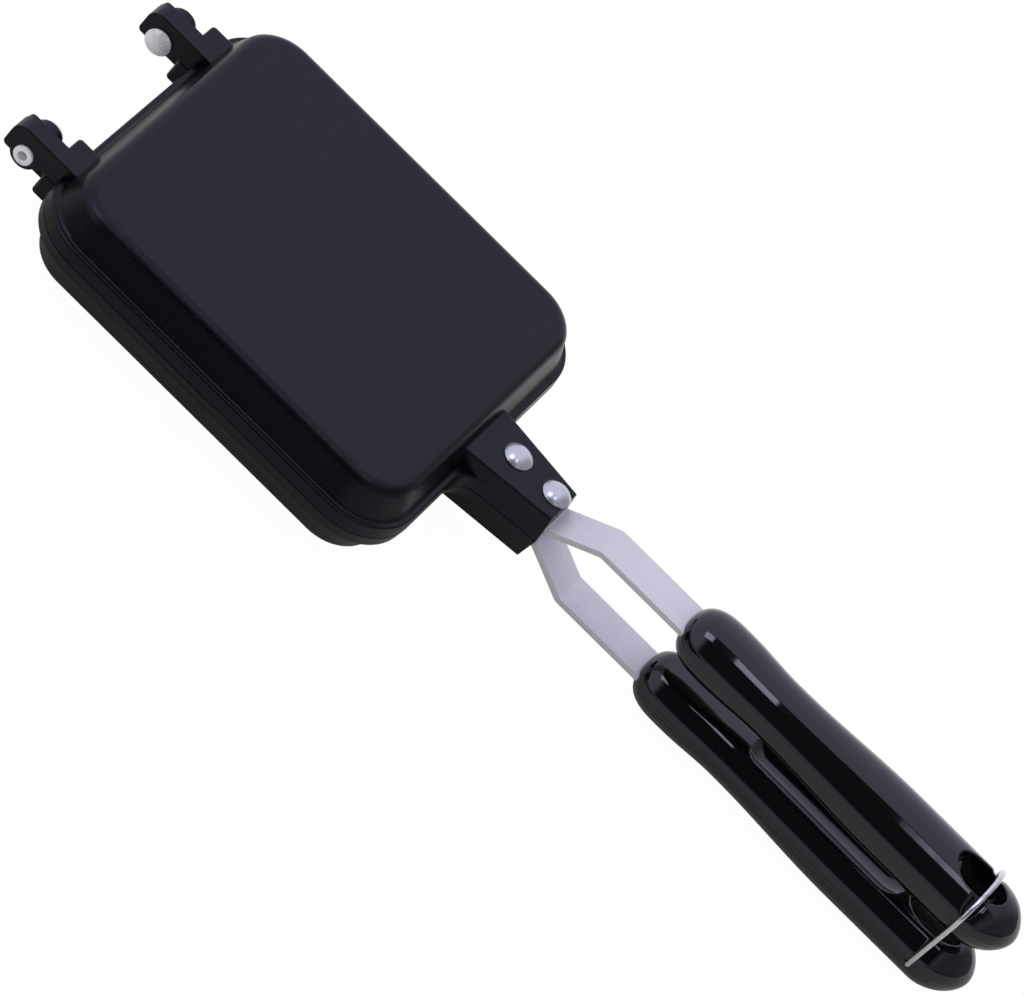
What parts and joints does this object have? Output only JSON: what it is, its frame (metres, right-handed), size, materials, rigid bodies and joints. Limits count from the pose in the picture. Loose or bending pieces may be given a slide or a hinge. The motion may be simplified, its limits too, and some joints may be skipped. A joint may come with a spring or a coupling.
{
  "type": "double-sided frying pan",
  "caption": "Hinged pair of shallow square cast pans with cranked steel straps, moulded grips and a wire latch bail.",
  "frame": {"origin": "middle of the lower pan's flat outer face, on the pan's centre lines", "axes": "+X from the hinges to the grips, +Z from the lower pan to the upper pan, +Y across, so the hinge pins lie along Y"},
  "size_m": [0.3668, 0.1268, 0.0455],
  "materials": {
    "pan_coating": "matt charcoal non-stick coating on cast aluminium, faint sparkle",
    "strap_steel": "satin steel strip with darker sheared edges",
    "rivet_aluminium": "bright domed rivet metal",
    "grip_phenolic": "glossy black moulded phenolic",
    "bail_wire": "bright drawn steel wire"
  },
  "bodies": {
    "lower_half": {"lower_pan": "pan_coating", "lower_strap": "strap_steel", "lower_rivet_1": "rivet_aluminium", "lower_rivet_2": "rivet_aluminium", "lower_grip": "grip_phenolic", "hinge_pin_left": "rivet_aluminium", "hinge_pin_right": "rivet_aluminium"},
    "upper_half": {"upper_pan": "pan_coating", "upper_strap": "strap_steel", "upper_rivet_1": "rivet_aluminium", "upper_rivet_2": "rivet_aluminium", "upper_grip": "grip_phenolic"},
    "bail": {"latch_bail": "bail_wire"}
  },
  "joints": [
    {"name": "pan_hinge", "type": "hinge", "parent": "lower_half", "child": "upper_half", "pos_m": [-0.0821, 0, 0.0154], "axis": [0, -1, 0], "range_deg": [0, 180]},
    {"name": "bail_swivel", "type": "hinge", "parent": "lower_half", "child": "bail", "pos_m": [0.2605, 0, 0.0036], "axis": [0, 1, 0], "range_deg": [0, 170]}
  ]
}
